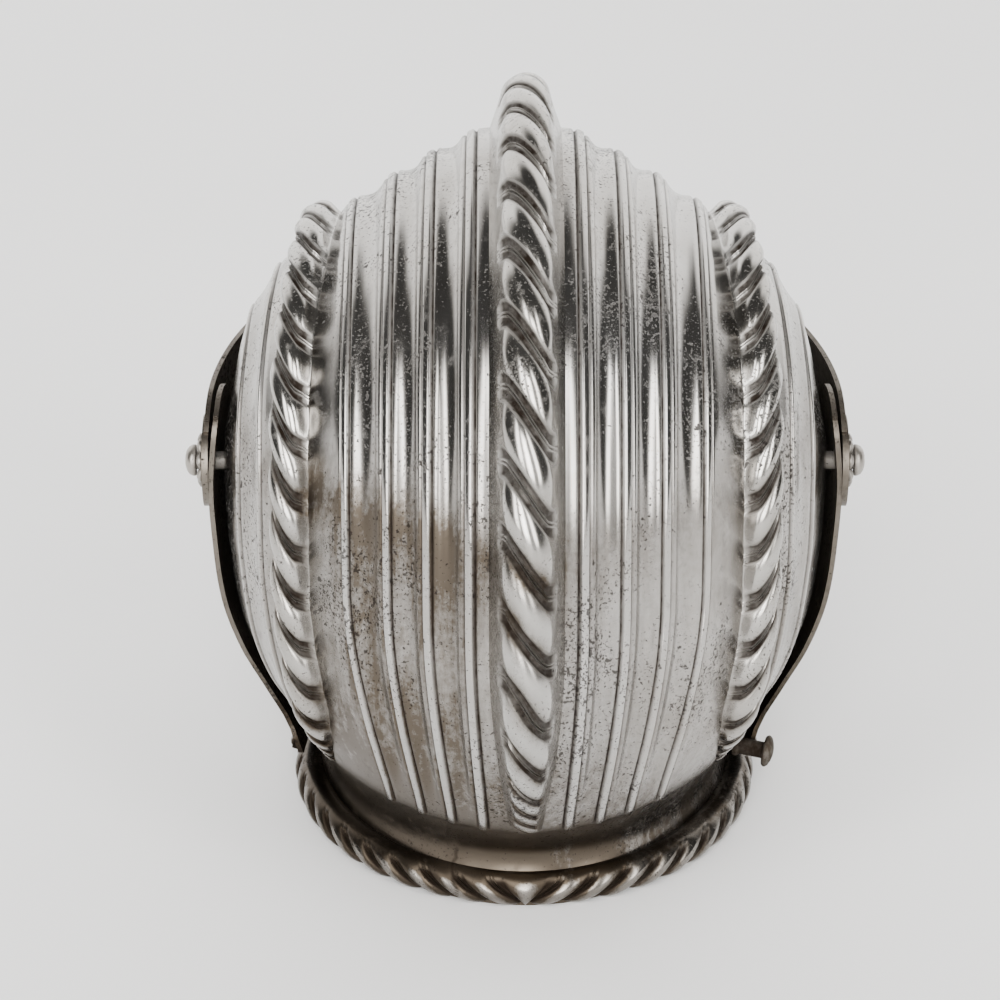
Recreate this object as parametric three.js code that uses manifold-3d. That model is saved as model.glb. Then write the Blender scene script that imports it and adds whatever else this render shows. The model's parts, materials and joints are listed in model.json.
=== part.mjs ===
// A fluted close helmet of about 1520: a skull with three roped combs, and a bevor and a visor that turn on
// one pair of pivots.
// Millimetres, +Z up. The helmet faces -Y, so its left side is +X. It stands on its neck rim at Z = 0.
// Every piece is drawn around the pivot axis, which runs along X, and the helmet is lifted into place last.
import * as THREE from "three";
import { mergeVertices } from "three/addons/utils/BufferGeometryUtils.js";
import Module from "manifold-3d";

const wasm = await Module();
wasm.setup();

// Driving dimensions
const pivotHeight = 121.5; // pivot axis above the surface that the rim stands on
const pivotSetBack = 6; // pivot axis behind the middle of the helmet's length
const wall = 1.8; // plate of the skull
const faceWall = 1.6; // plate of bevor and visor
const skullHalfWidth = 98;
const domeRadius = 113; // skull in the middle plane, under the medial comb
const domeCentre = { y: 5, z: 2 };
const backFullness = 5; // the back of the head lies this much outside the dome's circle
const faceEdge = { y: -20, z: 4 }; // corner of the face opening, in front of the pivot
const browAngle = 10; // lower edge of the brow, from the face edge, in degrees
const roofDrop = 0.1; // how far the dome falls away beside the medial comb, as a share of its reach
const roofSkew = 1.1; // above 1 the fall is steepest away from the middle plane
// How the sides near the face edge differ from an oval: drawn in at the brow and above, full behind the
// pivots. The change runs over the given degrees from the brow, and ends over the given heights at the neck.
const sideSwell = {
  brow: -0.036, crown: -0.012, back: 0.015, at: 0.2, width: 0.18,
  browDegrees: [105, 45], backDegrees: [115, 175], neckHeights: [-85, -45],
};
const templeDraw = { amount: 0.5, degrees: [65, 15] }; // how much the temples draw in towards the brow
const edgeTaper = 0.028; // share of the half width by which the skull narrows at the face edge
const pivotHole = 3.4; // radius
const boltRadius = 3.0;

// The lower skull by height from the pivot: half width at the face edge, reach to the back and share of the
// roof drop
const skullSections = [
  { height: 12, halfWidth: 98, back: 122.4, roof: 1.0 },
  { height: 4, halfWidth: 98, back: 123, roof: 1.0 },
  { height: -8, halfWidth: 98, back: 124.2, roof: 0.98 },
  { height: -22, halfWidth: 97.4, back: 125.6, roof: 0.9 },
  { height: -46, halfWidth: 94.6, back: 121.5, roof: 0.75 },
  { height: -64, halfWidth: 89.3, back: 112.5, roof: 0.6 },
  { height: -80, halfWidth: 81, back: 100, roof: 0.35 },
  { height: -92, halfWidth: 74.8, back: 87.5, roof: 0.1 },
  { height: -101, halfWidth: 71.2, back: 79, roof: 0 },
  { height: -106, halfWidth: 70.4, back: 77.5, roof: 0 },
  { height: -113, halfWidth: 71.6, back: 79.5, roof: 0 },
  { height: -121.5, halfWidth: 72, back: 80, roof: 0 },
];

// The bevor by height from the pivot: half width at its rear edge and reach to the front
const bevorSections = [
  { height: 30, halfWidth: 99.2, front: 117 },
  { height: 0, halfWidth: 102.3, front: 122 },
  { height: -20, halfWidth: 102.1, front: 125 },
  { height: -45, halfWidth: 99.8, front: 126 },
  { height: -64, halfWidth: 94.2, front: 119 },
  { height: -80, halfWidth: 86.6, front: 107 },
  { height: -93, halfWidth: 80.4, front: 94 },
  { height: -103, halfWidth: 76.6, front: 86.5 },
  { height: -110, halfWidth: 76, front: 86 },
  { height: -121.5, halfWidth: 76, front: 87 },
];
const bevorRear = 10; // widest line of the bevor, behind the pivot
const bevorOverlap = 8; // how far its sides run on straight behind that line
const bevorArm = 25; // radius of the round arm at each pivot

// The visor in the middle plane: reach from the pivot axis by angle above the horizon
const visorHalfWidth = 104.9;
const visorArm = 15; // radius of the round eye at each pivot
const visorReach = 132.6; // clear of every comb as it swings
const visorProfile = [
  { angle: 120, reach: 132.6 },
  { angle: 60, reach: 132.6 },
  { angle: 13, reach: 132.6 },
  { angle: 8, reach: 134 },
  { angle: 3, reach: 139 },
  { angle: -0.5, reach: 149 },
  { angle: -3.5, reach: 143.5 },
  { angle: -7, reach: 152 },
  { angle: -10.5, reach: 145.5 },
  { angle: -14, reach: 150.5 },
  { angle: -17, reach: 142.5 },
  { angle: -20.5, reach: 138.6 },
  { angle: -45, reach: 134 },
  { angle: -100, reach: 132.6 },
];

// Openings through the visor: a sight and four breaths on each side, by distance from the middle plane and
// angle above the horizon
const sight = { x: 37, angle: 5.6, length: 58, height: 6 };
const breath = { xs: [18, 48], angles: [-5.4, -12.3], length: 23, height: 3 };

// Combs: width over the rope, height over the plate, and the strands from brow to nape
const medialComb = {
  halfWidth: 8.2, height: 12.6, flanks: true, strands: 18, ringsPerStrand: 2,
  from: 0.1, to: 1.72, rise: 0.2, fall: 0.9,
};
const lateralComb = {
  halfWidth: 5.6, height: 8.0, flanks: false, strands: 18, ringsPerStrand: 2,
  from: 0.12, to: 1.74, rise: 0.2, fall: 0.84,
};
// A comb's section from one foot over the crest to the other: across and up, and how much of it is roped
const combSection = [
  { across: 1.5, up: -0.1, rope: 0 },
  { across: 1.12, up: 0.3, rope: 0 },
  { across: 0.94, up: 0.64, rope: 1 },
  { across: 0.55, up: 0.93, rope: 1 },
  { across: 0, up: 1.04, rope: 1 },
  { across: -0.55, up: 0.93, rope: 1 },
  { across: -0.94, up: 0.64, rope: 1 },
  { across: -1.12, up: 0.3, rope: 0 },
  { across: -1.5, up: -0.1, rope: 0 },
];
const ropeGroove = 0.2; // depth of the grooves between strands, as a share of the comb's height

// Flutes: the ridges between medial and lateral combs, from the middle plane
const ridgeOffsets = [17.5, 30.5, 43, 56];
const sideRidgeSteps = [0.45, 0.73]; // ridges outside the lateral combs, by the way to the face edge
const fullestShare = 0.982; // where the sides are widest, just behind the pivots
const ridgeHeight = 0.7;
const fluteDepth = 0.9;
const ridgeDraw = { share: 0.24, along: [1.05, 1.8] }; // how far the ridges draw together towards the nape
const fluteEnd = [1.84, 1.76]; // where the flutes run out into the plain neck
// The lateral combs' distance from the middle plane, and where it grows and shrinks from brow to nape
const lateralLine = { brow: 66, widest: 73, nape: 62.4, grows: [0.4, 0.85], shrinks: [1.1, 1.8] };

// The roped rim round the neck
const rim = { y: -5, z: -115.7, radius: 6, backReach: 82, strandPitch: 13, groove: 0.16 };
const skullRimHalfWidth = 71.6;
const bevorRimHalfWidth = 74.8;
const bevorRimReach = 84;

// Lock stud at the right of the neck
const lockStud = { x: -70.1, y: 12, z: -99.5, shaft: 2.8, head: 5.4, length: 13.4, tilt: 6, turn: 14 };

// Scalloped washers under the bolt heads, by distance from the middle plane and radius
const rosette = { petals: 8, seat: 105.2, foot: 106.2, edge: 7.6, scallop: 1.2, crown: 6.4 };

const cutHalfWidth = 140; // cuts along X reach past both sides

const radians = THREE.MathUtils.degToRad;
// An even rise from 0 to 1 between two values, either way round.
function smooth(from, to, value) {
  const t = THREE.MathUtils.clamp((value - from) / (to - from), 0, 1);
  return t * t * (3 - 2 * t);
}

// Solids and geometry

function solidOf(geometry) {
  const loose = geometry.index ? geometry.toNonIndexed() : geometry.clone();
  loose.deleteAttribute("normal");
  loose.deleteAttribute("uv");
  const merged = mergeVertices(loose, 1e-3);
  const corners = merged.index.array;
  const triVerts = [];
  for (let i = 0; i < corners.length; i += 3) {
    const [a, b, c] = [corners[i], corners[i + 1], corners[i + 2]];
    if (a !== b && b !== c && c !== a) triVerts.push(a, b, c);
  }
  const vertProperties = merged.attributes.position.array;
  const mesh = new wasm.Mesh({ numProp: 3, vertProperties, triVerts: new Uint32Array(triVerts) });
  return new wasm.Manifold(mesh);
}

function geometryOf(solid) {
  const { vertProperties, triVerts } = solid.getMesh();
  const geometry = new THREE.BufferGeometry();
  geometry.setAttribute("position", new THREE.BufferAttribute(vertProperties, 3));
  geometry.setIndex(new THREE.BufferAttribute(triVerts, 1));
  geometry.computeVertexNormals();
  return geometry;
}

// A solid skinned through closed rings of points, with a cap on the first and the last ring.
function skin(rings) {
  const positions = [];
  const triangle = (a, b, c) => positions.push(...a, ...b, ...c);
  const count = rings[0].length;
  for (let i = 0; i + 1 < rings.length; i++) {
    for (let j = 0; j < count; j++) {
      const next = (j + 1) % count;
      triangle(rings[i][j], rings[i][next], rings[i + 1][next]);
      triangle(rings[i][j], rings[i + 1][next], rings[i + 1][j]);
    }
  }
  const cap = (ring, flip) => {
    const middle = ring.reduce((sum, p) => sum.add(p), new THREE.Vector3()).divideScalar(count);
    ring.forEach((p, j) => {
      const q = ring[(j + 1) % count];
      if (flip) triangle(middle, p, q);
      else triangle(middle, q, p);
    });
  };
  cap(rings[0], false);
  cap(rings[rings.length - 1], true);
  const geometry = new THREE.BufferGeometry();
  geometry.setAttribute("position", new THREE.Float32BufferAttribute(positions, 3));
  const solid = solidOf(geometry);
  return solid.volume() < 0 ? skin(rings.map((ring) => [...ring].reverse())) : solid;
}

// A prism along X whose side view is an outline in Y and Z.
function sidePrism(outline, halfWidth) {
  const settings = { depth: 2 * halfWidth, bevelEnabled: false, curveSegments: 6 };
  const prism = new THREE.ExtrudeGeometry(outline, settings);
  prism.translate(0, 0, -halfWidth);
  const axes = [new THREE.Vector3(0, 1, 0), new THREE.Vector3(0, 0, 1), new THREE.Vector3(1, 0, 0)];
  return solidOf(prism.applyMatrix4(new THREE.Matrix4().makeBasis(...axes)));
}

function roundBar(radius, from, to, sides) {
  const bar = new THREE.CylinderGeometry(radius, radius, to - from, sides);
  return solidOf(bar.rotateZ(-Math.PI / 2).translate((from + to) / 2, 0, 0));
}

// A smooth value between the rows of a table, by the first named column.
function fromTable(table, key, column, at) {
  const falling = table[0][key] > table[table.length - 1][key];
  const rows = falling ? [...table].reverse() : table;
  const last = rows.length - 1;
  const clamped = THREE.MathUtils.clamp(at, rows[0][key], rows[last][key]);
  let i = 0;
  while (i < last - 1 && clamped > rows[i + 1][key]) i++;
  const slope = (k) => {
    const low = rows[Math.max(0, k - 1)];
    const high = rows[Math.min(last, k + 1)];
    return (high[column] - low[column]) / (high[key] - low[key]);
  };
  const span = rows[i + 1][key] - rows[i][key];
  const t = (clamped - rows[i][key]) / span;
  const [t2, t3] = [t * t, t * t * t];
  return (
    (2 * t3 - 3 * t2 + 1) * rows[i][column] +
    (t3 - 2 * t2 + t) * span * slope(i) +
    (3 * t2 - 2 * t3) * rows[i + 1][column] +
    (t3 - t2) * span * slope(i + 1)
  );
}

// The skull's form

// A station along the skull, by the way from brow to rim: 0 to 1 turns about the face edge over the crown to
// the back, and 1 to 2 goes down from there to the rim.
function skullStation(way) {
  if (way <= 1) {
    const degrees = browAngle + (180 - browAngle) * way;
    const angle = radians(degrees);
    const direction = { y: -Math.cos(angle), z: Math.sin(angle) };
    const radius = domeRadius + backFullness * Math.max(0, (degrees - 100) / 80) ** 2;
    const [dy, dz] = [domeCentre.y - faceEdge.y, domeCentre.z - faceEdge.z];
    const along = direction.y * dy + direction.z * dz;
    const reach = along + Math.sqrt(along * along - dy * dy - dz * dz + radius * radius);
    const temple = 1 + templeDraw.amount * smooth(...templeDraw.degrees, degrees);
    const { brow, crown, back, browDegrees, backDegrees } = sideSwell;
    const swell =
      crown +
      (brow - crown) * smooth(...browDegrees, degrees) +
      (back - crown) * smooth(...backDegrees, degrees);
    return { origin: faceEdge, direction, reach, halfWidth: skullHalfWidth, roof: 1, temple, swell };
  }
  const height = faceEdge.z - (way - 1) * (pivotHeight + faceEdge.z);
  return {
    origin: { y: faceEdge.y, z: height },
    direction: { y: 1, z: 0 },
    reach: fromTable(skullSections, "height", "back", height) - faceEdge.y,
    halfWidth: fromTable(skullSections, "height", "halfWidth", height),
    roof: fromTable(skullSections, "height", "roof", height),
    temple: 1,
    swell: sideSwell.back * smooth(...sideSwell.neckHeights, height),
  };
}

// The point on the smooth skull at a station, a share of the half width to one side, raised off the plate.
function skullPoint(way, share, raised = 0) {
  const { origin, direction, reach, halfWidth, roof, temple, swell } = skullStation(way);
  const round = Math.pow(Math.max(0, 1 - share * share), temple / 2);
  const taper = 1 - edgeTaper * Math.pow(Math.max(0, 1 - round / 0.3), 2);
  const fuller = taper + swell * Math.exp(-(((round - sideSwell.at) / sideSwell.width) ** 2));
  const drop = roofDrop * roof * Math.sin(Math.PI * Math.abs(share) ** roofSkew);
  const normal = new THREE.Vector2(share / halfWidth, round / reach).normalize();
  const out = reach * (round - drop) + raised * normal.y;
  return new THREE.Vector3(
    halfWidth * share * fuller + raised * normal.x,
    origin.y + direction.y * out,
    origin.z + direction.z * out,
  );
}

const ridgeSpread = (way) => 1 - ridgeDraw.share * smooth(...ridgeDraw.along, way);
const fluteFade = (way) => smooth(...fluteEnd, way);

function lateralOffset(way) {
  const { brow, widest, nape, grows, shrinks } = lateralLine;
  return brow + (widest - brow) * smooth(...grows, way) + (nape - widest) * smooth(...shrinks, way);
}

// The columns across one half of the skull: share of the half width and height off the plate.
function fluteColumns(way) {
  const { halfWidth } = skullStation(way);
  const fade = fluteFade(way);
  const spread = ridgeSpread(way) / halfWidth;
  const comb = lateralOffset(way) / halfWidth;
  const columns = [{ share: 0, raised: 0 }];
  const put = (share, raised) => columns.push({ share, raised: raised * fade });
  let last = 0;
  const flute = (next) => put((last + next) / 2, -fluteDepth);
  for (const offset of ridgeOffsets) {
    const share = offset * spread;
    if (last) flute(share);
    put(share, ridgeHeight);
    last = share;
  }
  flute(comb);
  put(comb, 0);
  last = comb;
  for (const step of sideRidgeSteps) {
    const share = comb + (1 - comb) * step;
    flute(share);
    put(share, ridgeHeight);
    last = share;
  }
  put(fullestShare, 0);
  put(1, 0);
  return columns;
}

function skullOuter() {
  const ways = [];
  for (let i = 0; i <= 12; i++) ways.push(i / 12);
  for (let i = 1; i <= 9; i++) ways.push(1 + i / 9);
  const rings = ways.map((way) => {
    const half = fluteColumns(way);
    const right = half.slice(1).reverse().map((c) => skullPoint(way, -c.share, c.raised));
    return [...right, ...half.map((c) => skullPoint(way, c.share, c.raised))];
  });
  return skin(rings);
}

// The hollow inside the skull: it runs out through the face opening and through the neck.
function skullHollow() {
  const steps = 12;
  const faceRun = 14;
  const inside = (way, down) => {
    const { origin, halfWidth, reach } = skullStation(way);
    const shrink = (reach - wall) / reach;
    const ring = [];
    for (let i = 0; i <= steps; i++) {
      const share = Math.sin(radians(-90 + (180 * i) / steps));
      const p = skullPoint(way, share);
      const [y, z] = [origin.y + (p.y - origin.y) * shrink, origin.z + (p.z - origin.z) * shrink];
      ring.push(new THREE.Vector3((p.x * (halfWidth - wall)) / halfWidth, y, z - down));
    }
    const ahead = (p) => new THREE.Vector3(p.x, p.y - faceRun, p.z);
    return [ahead(ring[0]), ...ring, ahead(ring[steps])];
  };
  const rings = [];
  for (let i = 0; i <= 9; i++) rings.push(inside(i / 9, 0));
  for (let i = 1; i <= 7; i++) rings.push(inside(1 + i / 7, 0));
  rings.push(inside(2, 10));
  const first = rings[0].map((p) => new THREE.Vector3(p.x, p.y - 6, p.z - 25));
  return skin([first, ...rings]);
}

// Roped edges

// A rope laid along a path: path(t) gives a point, the way out of the plate and the way across the rope.
// Each ring leans along the strand, so that one ring in every strand lies in a groove.
function rope(path, { strands, ringsPerStrand, lean, groove, section, size }) {
  const rings = [];
  const count = Math.round(strands * ringsPerStrand);
  for (let i = 0; i <= count; i++) {
    const depth = i % ringsPerStrand === 0 ? groove : 0;
    rings.push(
      section.map(({ across, up, rope: roped }) => {
        const t = THREE.MathUtils.clamp(i / count + (lean(i / count) * across * roped) / strands, 0, 1);
        const { point, out, side } = path(t);
        const { halfWidth, height } = size(t);
        const lift = (up - (roped ? depth : 0)) * height;
        return point.clone().addScaledVector(side, across * halfWidth).addScaledVector(out, lift);
      }),
    );
  }
  return skin(rings);
}

// The way out of the skull's plate and the way across a line that runs from brow to nape.
function skullFrame(way, share) {
  const step = 0.004;
  const point = skullPoint(way, share);
  const along = skullPoint(way + step, share).sub(skullPoint(way - step, share));
  const across = skullPoint(way, share + step).sub(skullPoint(way, share - step));
  const side = across.normalize();
  const out = new THREE.Vector3().crossVectors(side, along).normalize();
  return { point, out, side };
}

// Even steps along a line over the plate: gives the way from brow to nape at a share of the line's length.
function alongPlate(from, to, offset) {
  const steps = 160;
  const ways = Array.from({ length: steps + 1 }, (_, i) => from + ((to - from) * i) / steps);
  const points = ways.map((way) => skullPoint(way, offset(way) / skullStation(way).halfWidth));
  const lengths = [0];
  for (let i = 1; i <= steps; i++) lengths.push(lengths[i - 1] + points[i].distanceTo(points[i - 1]));
  return (t) => {
    const length = t * lengths[steps];
    let i = 1;
    while (i < steps && lengths[i] < length) i++;
    return THREE.MathUtils.mapLinear(length, lengths[i - 1], lengths[i], ways[i - 1], ways[i]);
  };
}

// A comb and the channel under it: the rope stands on the plate, and the channel opens into the skull.
function comb({ halfWidth, height, flanks, strands, ringsPerStrand, from, to, rise, fall }, offset, lean) {
  const wayAt = alongPlate(from, to, offset);
  const path = (t) => skullFrame(wayAt(t), offset(wayAt(t)) / skullStation(wayAt(t)).halfWidth);
  const full = (t) => smooth(0, rise, t) * smooth(1, fall, t);
  const crest = rope(path, {
    strands,
    ringsPerStrand,
    lean: () => lean,
    groove: ropeGroove,
    section: combSection.filter((corner) => corner.rope || corner.up < 0 || flanks),
    size: (t) => ({
      halfWidth: halfWidth * (0.45 + 0.55 * full(t)),
      height: 1.2 + (height - 1.2) * full(t),
    }),
  });
  const rings = [];
  const count = 10;
  for (let i = 0; i <= count; i++) {
    const t = rise / 2 + ((1 + fall) / 2 - rise / 2) * (i / count);
    const { point, out, side } = path(t);
    const [half, top] = [halfWidth * 0.66 * (0.5 + 0.5 * full(t)), (height * 0.8 - 2.4) * full(t)];
    const corners = [[-half, -3 * wall], [half, -3 * wall], [half * 0.66, top], [-half * 0.66, top]];
    rings.push(corners.map(([a, u]) => point.clone().addScaledVector(side, a).addScaledVector(out, u)));
  }
  return { crest, channel: skin(rings) };
}

// Part of the rim round the neck, as a rope on an oval: heading +1 is the back and -1 the front.
function rimRope(heading, halfWidth, reach, sweep) {
  const angleAt = (t) => radians(sweep * (2 * t - 1));
  const place = (t) => {
    const angle = angleAt(t);
    const point = new THREE.Vector3(
      halfWidth * Math.sin(angle),
      rim.y + heading * reach * Math.cos(angle),
      rim.z,
    );
    const out = new THREE.Vector3(Math.sin(angle) / halfWidth, (heading * Math.cos(angle)) / reach, 0);
    out.normalize();
    return { point, out, side: new THREE.Vector3(0, 0, 1) };
  };
  const section = [];
  for (let i = 0; i < 5; i++) {
    const turn = radians(-80 + 40 * i);
    section.push({ across: Math.sin(turn), up: Math.cos(turn), rope: 1 });
  }
  section.push({ across: 0.72, up: -0.6, rope: 0 }, { across: -0.72, up: -0.6, rope: 0 });
  const length = (radians(sweep) * (halfWidth + reach)) * 1.02;
  const strands = 2 * Math.round(length / rim.strandPitch / 2);
  return rope(place, {
    strands,
    ringsPerStrand: 2,
    lean: (t) => 0.62 * THREE.MathUtils.clamp((t - 0.5) * strands, -1, 1),
    groove: rim.groove,
    section,
    size: () => ({ halfWidth: rim.radius, height: rim.radius }),
  });
}

// Everything above the surface that the helmet stands on
function aboveGround() {
  const tall = 600;
  return solidOf(new THREE.BoxGeometry(tall, tall, tall).translate(0, 0, tall / 2 - pivotHeight));
}

function pivotBore() {
  return roundBar(pivotHole, -cutHalfWidth, cutHalfWidth, 20);
}

// Pieces

function makeSkull() {
  const combs = [
    comb(medialComb, () => 0, -0.5),
    comb(lateralComb, (way) => lateralOffset(way), -0.5),
    comb(lateralComb, (way) => -lateralOffset(way), 0.5),
  ];
  let skull = skullOuter().add(rimRope(1, skullRimHalfWidth, rim.backReach, 100));
  for (const { crest } of combs) skull = skull.add(crest);
  skull = skull.subtract(skullHollow());
  for (const { channel } of combs) skull = skull.subtract(channel);
  return skull.intersect(aboveGround()).subtract(pivotBore());
}

// One level section of the bevor, as a closed ring: half an oval with straight sides behind it.
function bevorRing(height, shrink, behind) {
  const halfWidth = fromTable(bevorSections, "height", "halfWidth", height) - shrink;
  const front = fromTable(bevorSections, "height", "front", height) - shrink;
  const steps = 14;
  const ring = [new THREE.Vector3(-halfWidth, bevorRear + behind, height)];
  for (let i = 0; i <= steps; i++) {
    const turn = radians(-90 + (180 * i) / steps);
    const y = bevorRear - (front + bevorRear) * Math.cos(turn);
    ring.push(new THREE.Vector3(halfWidth * Math.sin(turn), y, height));
  }
  ring.push(new THREE.Vector3(halfWidth, bevorRear + behind, height));
  return ring;
}

// The bevor from the side: round arms at the pivots, a mouth edge that falls to the front, and a rear edge
// that lies over the skull and stops above the skull's rim.
function bevorOutline() {
  const outline = new THREE.Shape();
  const arm = bevorArm;
  outline.moveTo(-arm * 0.8, arm * 0.6);
  outline.absarc(0, 0, arm, radians(143), radians(60), true);
  outline.absarc(4, 12, 9.6, radians(48), radians(0), true);
  outline.quadraticCurveTo(13, -50, 5.5, -92);
  outline.absarc(1, -101.5, 6.5, radians(40), radians(-90), true);
  outline.lineTo(-21, -108);
  outline.lineTo(-21, -130);
  outline.lineTo(-180, -130);
  outline.lineTo(-180, -18);
  outline.lineTo(-110, -18);
  outline.bezierCurveTo(-50, -22, -30, -14, -arm * 0.8, arm * 0.6);
  return outline;
}

function makeBevor() {
  const heights = [30, 8, -14, -34, -50, -64, -76, -88, -98, -108, -121.5];
  const outer = skin(heights.map((h) => bevorRing(h, 0, bevorOverlap)));
  const inside = heights.filter((h, i) => i % 2 === 0).map((h) => bevorRing(h, faceWall, 30));
  const lift = (ring, dz) => ring.map((p) => new THREE.Vector3(p.x, p.y, p.z + dz));
  const hollow = skin([lift(inside[0], 8), ...inside, lift(inside[inside.length - 1], -8)]);
  return outer
    .add(rimRope(-1, bevorRimHalfWidth, bevorRimReach, 84))
    .subtract(hollow)
    .intersect(sidePrism(bevorOutline(), cutHalfWidth))
    .intersect(aboveGround())
    .subtract(pivotBore());
}

function visorRing(profileAngle, angle, shrink) {
  const reach = fromTable(visorProfile, "angle", "reach", profileAngle);
  const steps = 14;
  const ring = [];
  for (let i = 0; i <= steps; i++) {
    const s = (2 * i) / steps - 1;
    const turn = radians(90 * (1.25 * s - 0.25 * s * s * s)); // closer together at the arms
    const fade = Math.pow(Math.cos(turn), 1.5);
    const out = (visorReach + (reach - visorReach) * fade - shrink) * Math.cos(turn);
    const x = (visorHalfWidth - shrink) * Math.sin(turn);
    ring.push(new THREE.Vector3(x, -out * Math.cos(radians(angle)), out * Math.sin(radians(angle))));
  }
  return ring;
}

// The visor from the side: round arms at the pivots, a level upper edge and a lower edge that falls to the
// front.
function visorOutline() {
  const outline = new THREE.Shape();
  const arm = visorArm;
  outline.moveTo(-8, 22);
  outline.quadraticCurveTo(6, 20, arm * 0.9, arm * 0.44);
  outline.absarc(0, 0, arm, radians(26), radians(-105), true);
  outline.bezierCurveTo(-28, -22, -78, -38, -128, -46);
  outline.lineTo(-190, -46);
  outline.lineTo(-190, 29);
  outline.lineTo(-126, 29);
  outline.bezierCurveTo(-95, 26, -45, 24.5, -8, 22);
  return outline;
}

// A slot through the front of the visor, as a bar with round ends along the way out of the face.
function visorSlot(x, angle, length, height) {
  const slot = new THREE.Shape();
  const half = length / 2 - height / 2;
  slot.absarc(half, 0, height / 2, radians(-90), radians(90), false);
  slot.absarc(-half, 0, height / 2, radians(90), radians(270), false);
  const bar = new THREE.ExtrudeGeometry(slot, { depth: 120, bevelEnabled: false, curveSegments: 2 });
  bar.rotateX(Math.PI / 2).translate(0, -60, 0).rotateX(radians(-angle));
  return solidOf(bar.translate(x, 0, 0));
}

function makeVisor() {
  const angles = visorProfile.map((row) => row.angle);
  const outer = skin(angles.map((a) => visorRing(a, a, 0)));
  const past = (a) => (a > 100 ? a + 6 : a < -90 ? a - 6 : a);
  const hollow = skin(angles.map((a) => visorRing(a, past(a), faceWall)));
  let visor = outer.subtract(hollow).intersect(sidePrism(visorOutline(), cutHalfWidth));
  const eye = roundBar(visorArm, visorHalfWidth - 2.15, visorHalfWidth - 0.15, 20);
  for (const side of [-1, 1]) {
    visor = visor.add(side > 0 ? eye : eye.rotate([0, 0, 180]));
    visor = visor.subtract(visorSlot(side * sight.x, sight.angle, sight.length, sight.height));
    for (const angle of breath.angles) {
      for (const x of breath.xs) {
        visor = visor.subtract(visorSlot(side * x, angle, breath.length, breath.height));
      }
    }
  }
  return visor.subtract(pivotBore());
}

// The bolt lies along X on the left side: a domed head outside, a shank through the plates and a riveted end
// inside.
function makePivot() {
  const profile = [
    [0, 90.6],
    [6.2, 90.6],
    [6.2, 93.0],
    [boltRadius, 93.0],
    [boltRadius, 107.4],
    [5.2, 107.4],
    [5.0, 109],
    [3.4, 110.4],
    [0, 111],
  ];
  const bolt = new THREE.LatheGeometry(profile.map(([r, x]) => new THREE.Vector2(r, x)), 12);
  return solidOf(bolt.rotateZ(-Math.PI / 2));
}

// The rosette is a disc of petals, thicker in the middle of each petal, with a hole for the bolt.
function makeRosette() {
  const { petals, seat, foot } = rosette;
  const steps = petals * 2;
  const inner = [];
  const rimLow = [];
  const rimHigh = [];
  const crown = [];
  const innerHigh = [];
  for (let i = 0; i < steps; i++) {
    const turn = (2 * Math.PI * i) / steps;
    const petal = Math.abs(Math.sin((petals * turn) / 2));
    const at = (radius, x) => new THREE.Vector3(x, radius * Math.cos(turn), radius * Math.sin(turn));
    const edge = rosette.edge + rosette.scallop * petal;
    inner.push(at(pivotHole, seat));
    rimLow.push(at(edge, seat));
    rimHigh.push(at(edge - 0.4, foot - 0.4 + 0.3 * petal));
    crown.push(at(rosette.crown, foot + 0.2 + 0.7 * petal));
    innerHigh.push(at(pivotHole, foot + 0.5));
  }
  const loops = [inner, rimLow, rimHigh, crown, innerHigh, inner];
  const positions = [];
  for (let k = 0; k + 1 < loops.length; k++) {
    for (let i = 0; i < steps; i++) {
      const j = (i + 1) % steps;
      positions.push(...loops[k][i], ...loops[k][j], ...loops[k + 1][j]);
      positions.push(...loops[k][i], ...loops[k + 1][j], ...loops[k + 1][i]);
    }
  }
  const geometry = new THREE.BufferGeometry();
  geometry.setAttribute("position", new THREE.Float32BufferAttribute(positions, 3));
  return geometry;
}

// The stud points along +X before it is turned into place: a shank with a mushroom head.
function makeLockStud() {
  const { shaft, head, length } = lockStud;
  const profile = [
    [0, 0],
    [shaft * 1.3, 0],
    [shaft * 1.3, 1.6],
    [shaft, 2.4],
    [shaft, length - 3.4],
    [head * 0.94, length - 3.0],
    [head, length - 2.2],
    [head * 0.6, length - 0.5],
    [0, length],
  ];
  const stud = new THREE.LatheGeometry(profile.map(([r, x]) => new THREE.Vector2(r, x)), 12);
  return stud.rotateZ(-Math.PI / 2);
}

// Finishes
const polishedSteel = new THREE.MeshStandardMaterial({ color: 0xb9b6b1, metalness: 1, roughness: 0.28 });
const dullSteel = new THREE.MeshStandardMaterial({ color: 0x8d8984, metalness: 1, roughness: 0.4 });

function piece(name, geometry, material) {
  const mesh = new THREE.Mesh(geometry, material);
  mesh.name = name;
  return mesh;
}

const helmet = new THREE.Group();
helmet.add(piece("skull", geometryOf(makeSkull()), polishedSteel));
helmet.add(piece("bevor", geometryOf(makeBevor()), polishedSteel));
helmet.add(piece("visor", geometryOf(makeVisor()), polishedSteel));
for (const [name, turn] of [["left", 0], ["right", Math.PI]]) {
  const hardware = new THREE.Group();
  hardware.rotation.z = turn;
  hardware.add(piece(`pivot_${name}`, geometryOf(makePivot()), dullSteel));
  hardware.add(piece(`rosette_${name}`, makeRosette(), dullSteel));
  helmet.add(hardware);
}
const stud = piece("lock_stud", makeLockStud(), dullSteel);
stud.position.set(lockStud.x, lockStud.y, lockStud.z);
stud.rotation.set(0, radians(-lockStud.tilt), Math.PI - radians(lockStud.turn));
helmet.add(stud);

helmet.position.set(0, pivotSetBack, pivotHeight);
export default helmet;
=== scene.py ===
import json
import math

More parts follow.
